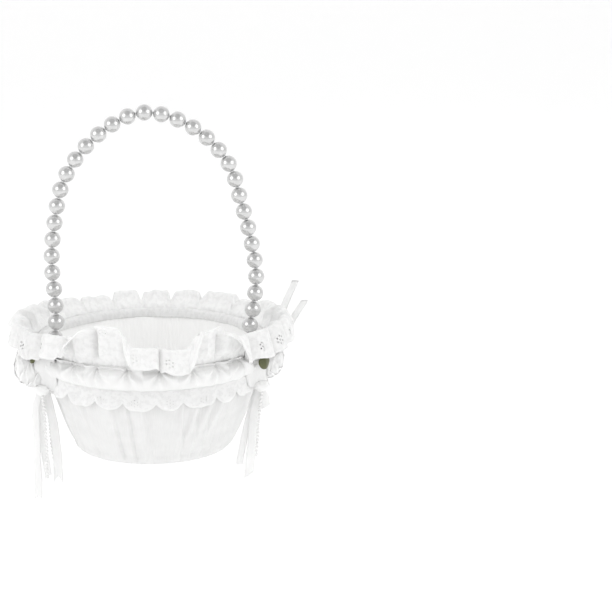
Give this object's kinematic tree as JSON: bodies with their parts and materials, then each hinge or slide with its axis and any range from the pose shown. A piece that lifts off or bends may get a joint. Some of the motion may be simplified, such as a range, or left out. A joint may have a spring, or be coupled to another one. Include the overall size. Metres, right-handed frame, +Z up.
{
  "type": "flower girl basket",
  "caption": "Round satin basket with lace ruffles, a ruched satin frill, a pearl arch handle, and a satin rose, leaf, bow, ribbon tails and pearl strands at each side.",
  "frame": {"origin": "the handle's wire at its highest point, where a hand holds the basket", "axes": "+X to the basket's right along the handle's span, +Y to its back, +Z up through the hand"},
  "size_m": [0.2182, 0.196, 0.2834],
  "materials": {
    "board": "matt moulded tub, hidden under the cloth",
    "satin": "white satin",
    "lining": "white satin lining",
    "lace": "white net lace with worked edges",
    "rose": "folded white satin ribbon",
    "leaf": "olive green satin ribbon",
    "ribbon": "narrow white satin ribbon",
    "pearl": "white pearl coat",
    "wire": "bright drawn wire"
  },
  "bodies": {
    "basket": {"basket_shell": "board", "base_cover": "satin", "base_board": "lining", "satin_skirt": "satin", "satin_lining": "lining", "upper_lace_ruffle": "lace", "satin_frill": "satin", "lower_lace_ruffle": "lace", "handle_wire": "wire", "left_handle_pocket": "lining", "right_handle_pocket": "lining", "left_rose": "rose", "right_rose": "rose", "left_leaf": "leaf", "right_leaf": "leaf", "left_bow": "ribbon", "right_bow": "ribbon", "pearl_01": "pearl", "pearl_02": "pearl", "pearl_03": "pearl", "pearl_04": "pearl", "pearl_05": "pearl", "pearl_06": "pearl", "pearl_07": "pearl", "pearl_08": "pearl", "pearl_09": "pearl", "pearl_10": "pearl", "pearl_11": "pearl", "pearl_12": "pearl", "pearl_13": "pearl", "pearl_14": "pearl", "pearl_15": "pearl", "pearl_16": "pearl", "pearl_17": "pearl", "pearl_18": "pearl", "pearl_19": "pearl", "pearl_20": "pearl", "pearl_21": "pearl", "pearl_22": "pearl", "pearl_23": "pearl", "pearl_24": "pearl", "pearl_25": "pearl", "pearl_26": "pearl", "pearl_27": "pearl", "pearl_28": "pearl", "pearl_29": "pearl", "pearl_30": "pearl", "pearl_31": "pearl", "pearl_32": "pearl", "pearl_33": "pearl", "pearl_34": "pearl"},
    "left_streamers": {"left_ribbon_long": "ribbon", "left_ribbon_short": "ribbon", "left_ribbon_forked": "ribbon"},
    "left_pearl_strands": {"left_strand_long": "pearl", "left_strand_short": "pearl"},
    "right_streamers": {"right_ribbon_short": "ribbon", "right_ribbon_wide": "ribbon", "right_ribbon_narrow": "ribbon"},
    "right_pearl_strand": {"right_strand": "pearl"}
  },
  "joints": [
    {"name": "left_streamers_swing", "type": "hinge", "parent": "basket", "child": "left_streamers", "pos_m": [-0.0784, -0.03, -0.1966], "axis": [0, 1, 0], "range_deg": [-4, 35]},
    {"name": "left_pearls_swing", "type": "hinge", "parent": "basket", "child": "left_pearl_strands", "pos_m": [-0.0784, -0.03, -0.1966], "axis": [0, 1, 0], "range_deg": [-4, 35]},
    {"name": "right_streamers_swing", "type": "hinge", "parent": "basket", "child": "right_streamers", "pos_m": [0.0806, -0.03, -0.1966], "axis": [0, -1, 0], "range_deg": [-4, 35]},
    {"name": "right_pearls_swing", "type": "hinge", "parent": "basket", "child": "right_pearl_strand", "pos_m": [0.0806, -0.03, -0.1966], "axis": [0, -1, 0], "range_deg": [-4, 35]}
  ]
}
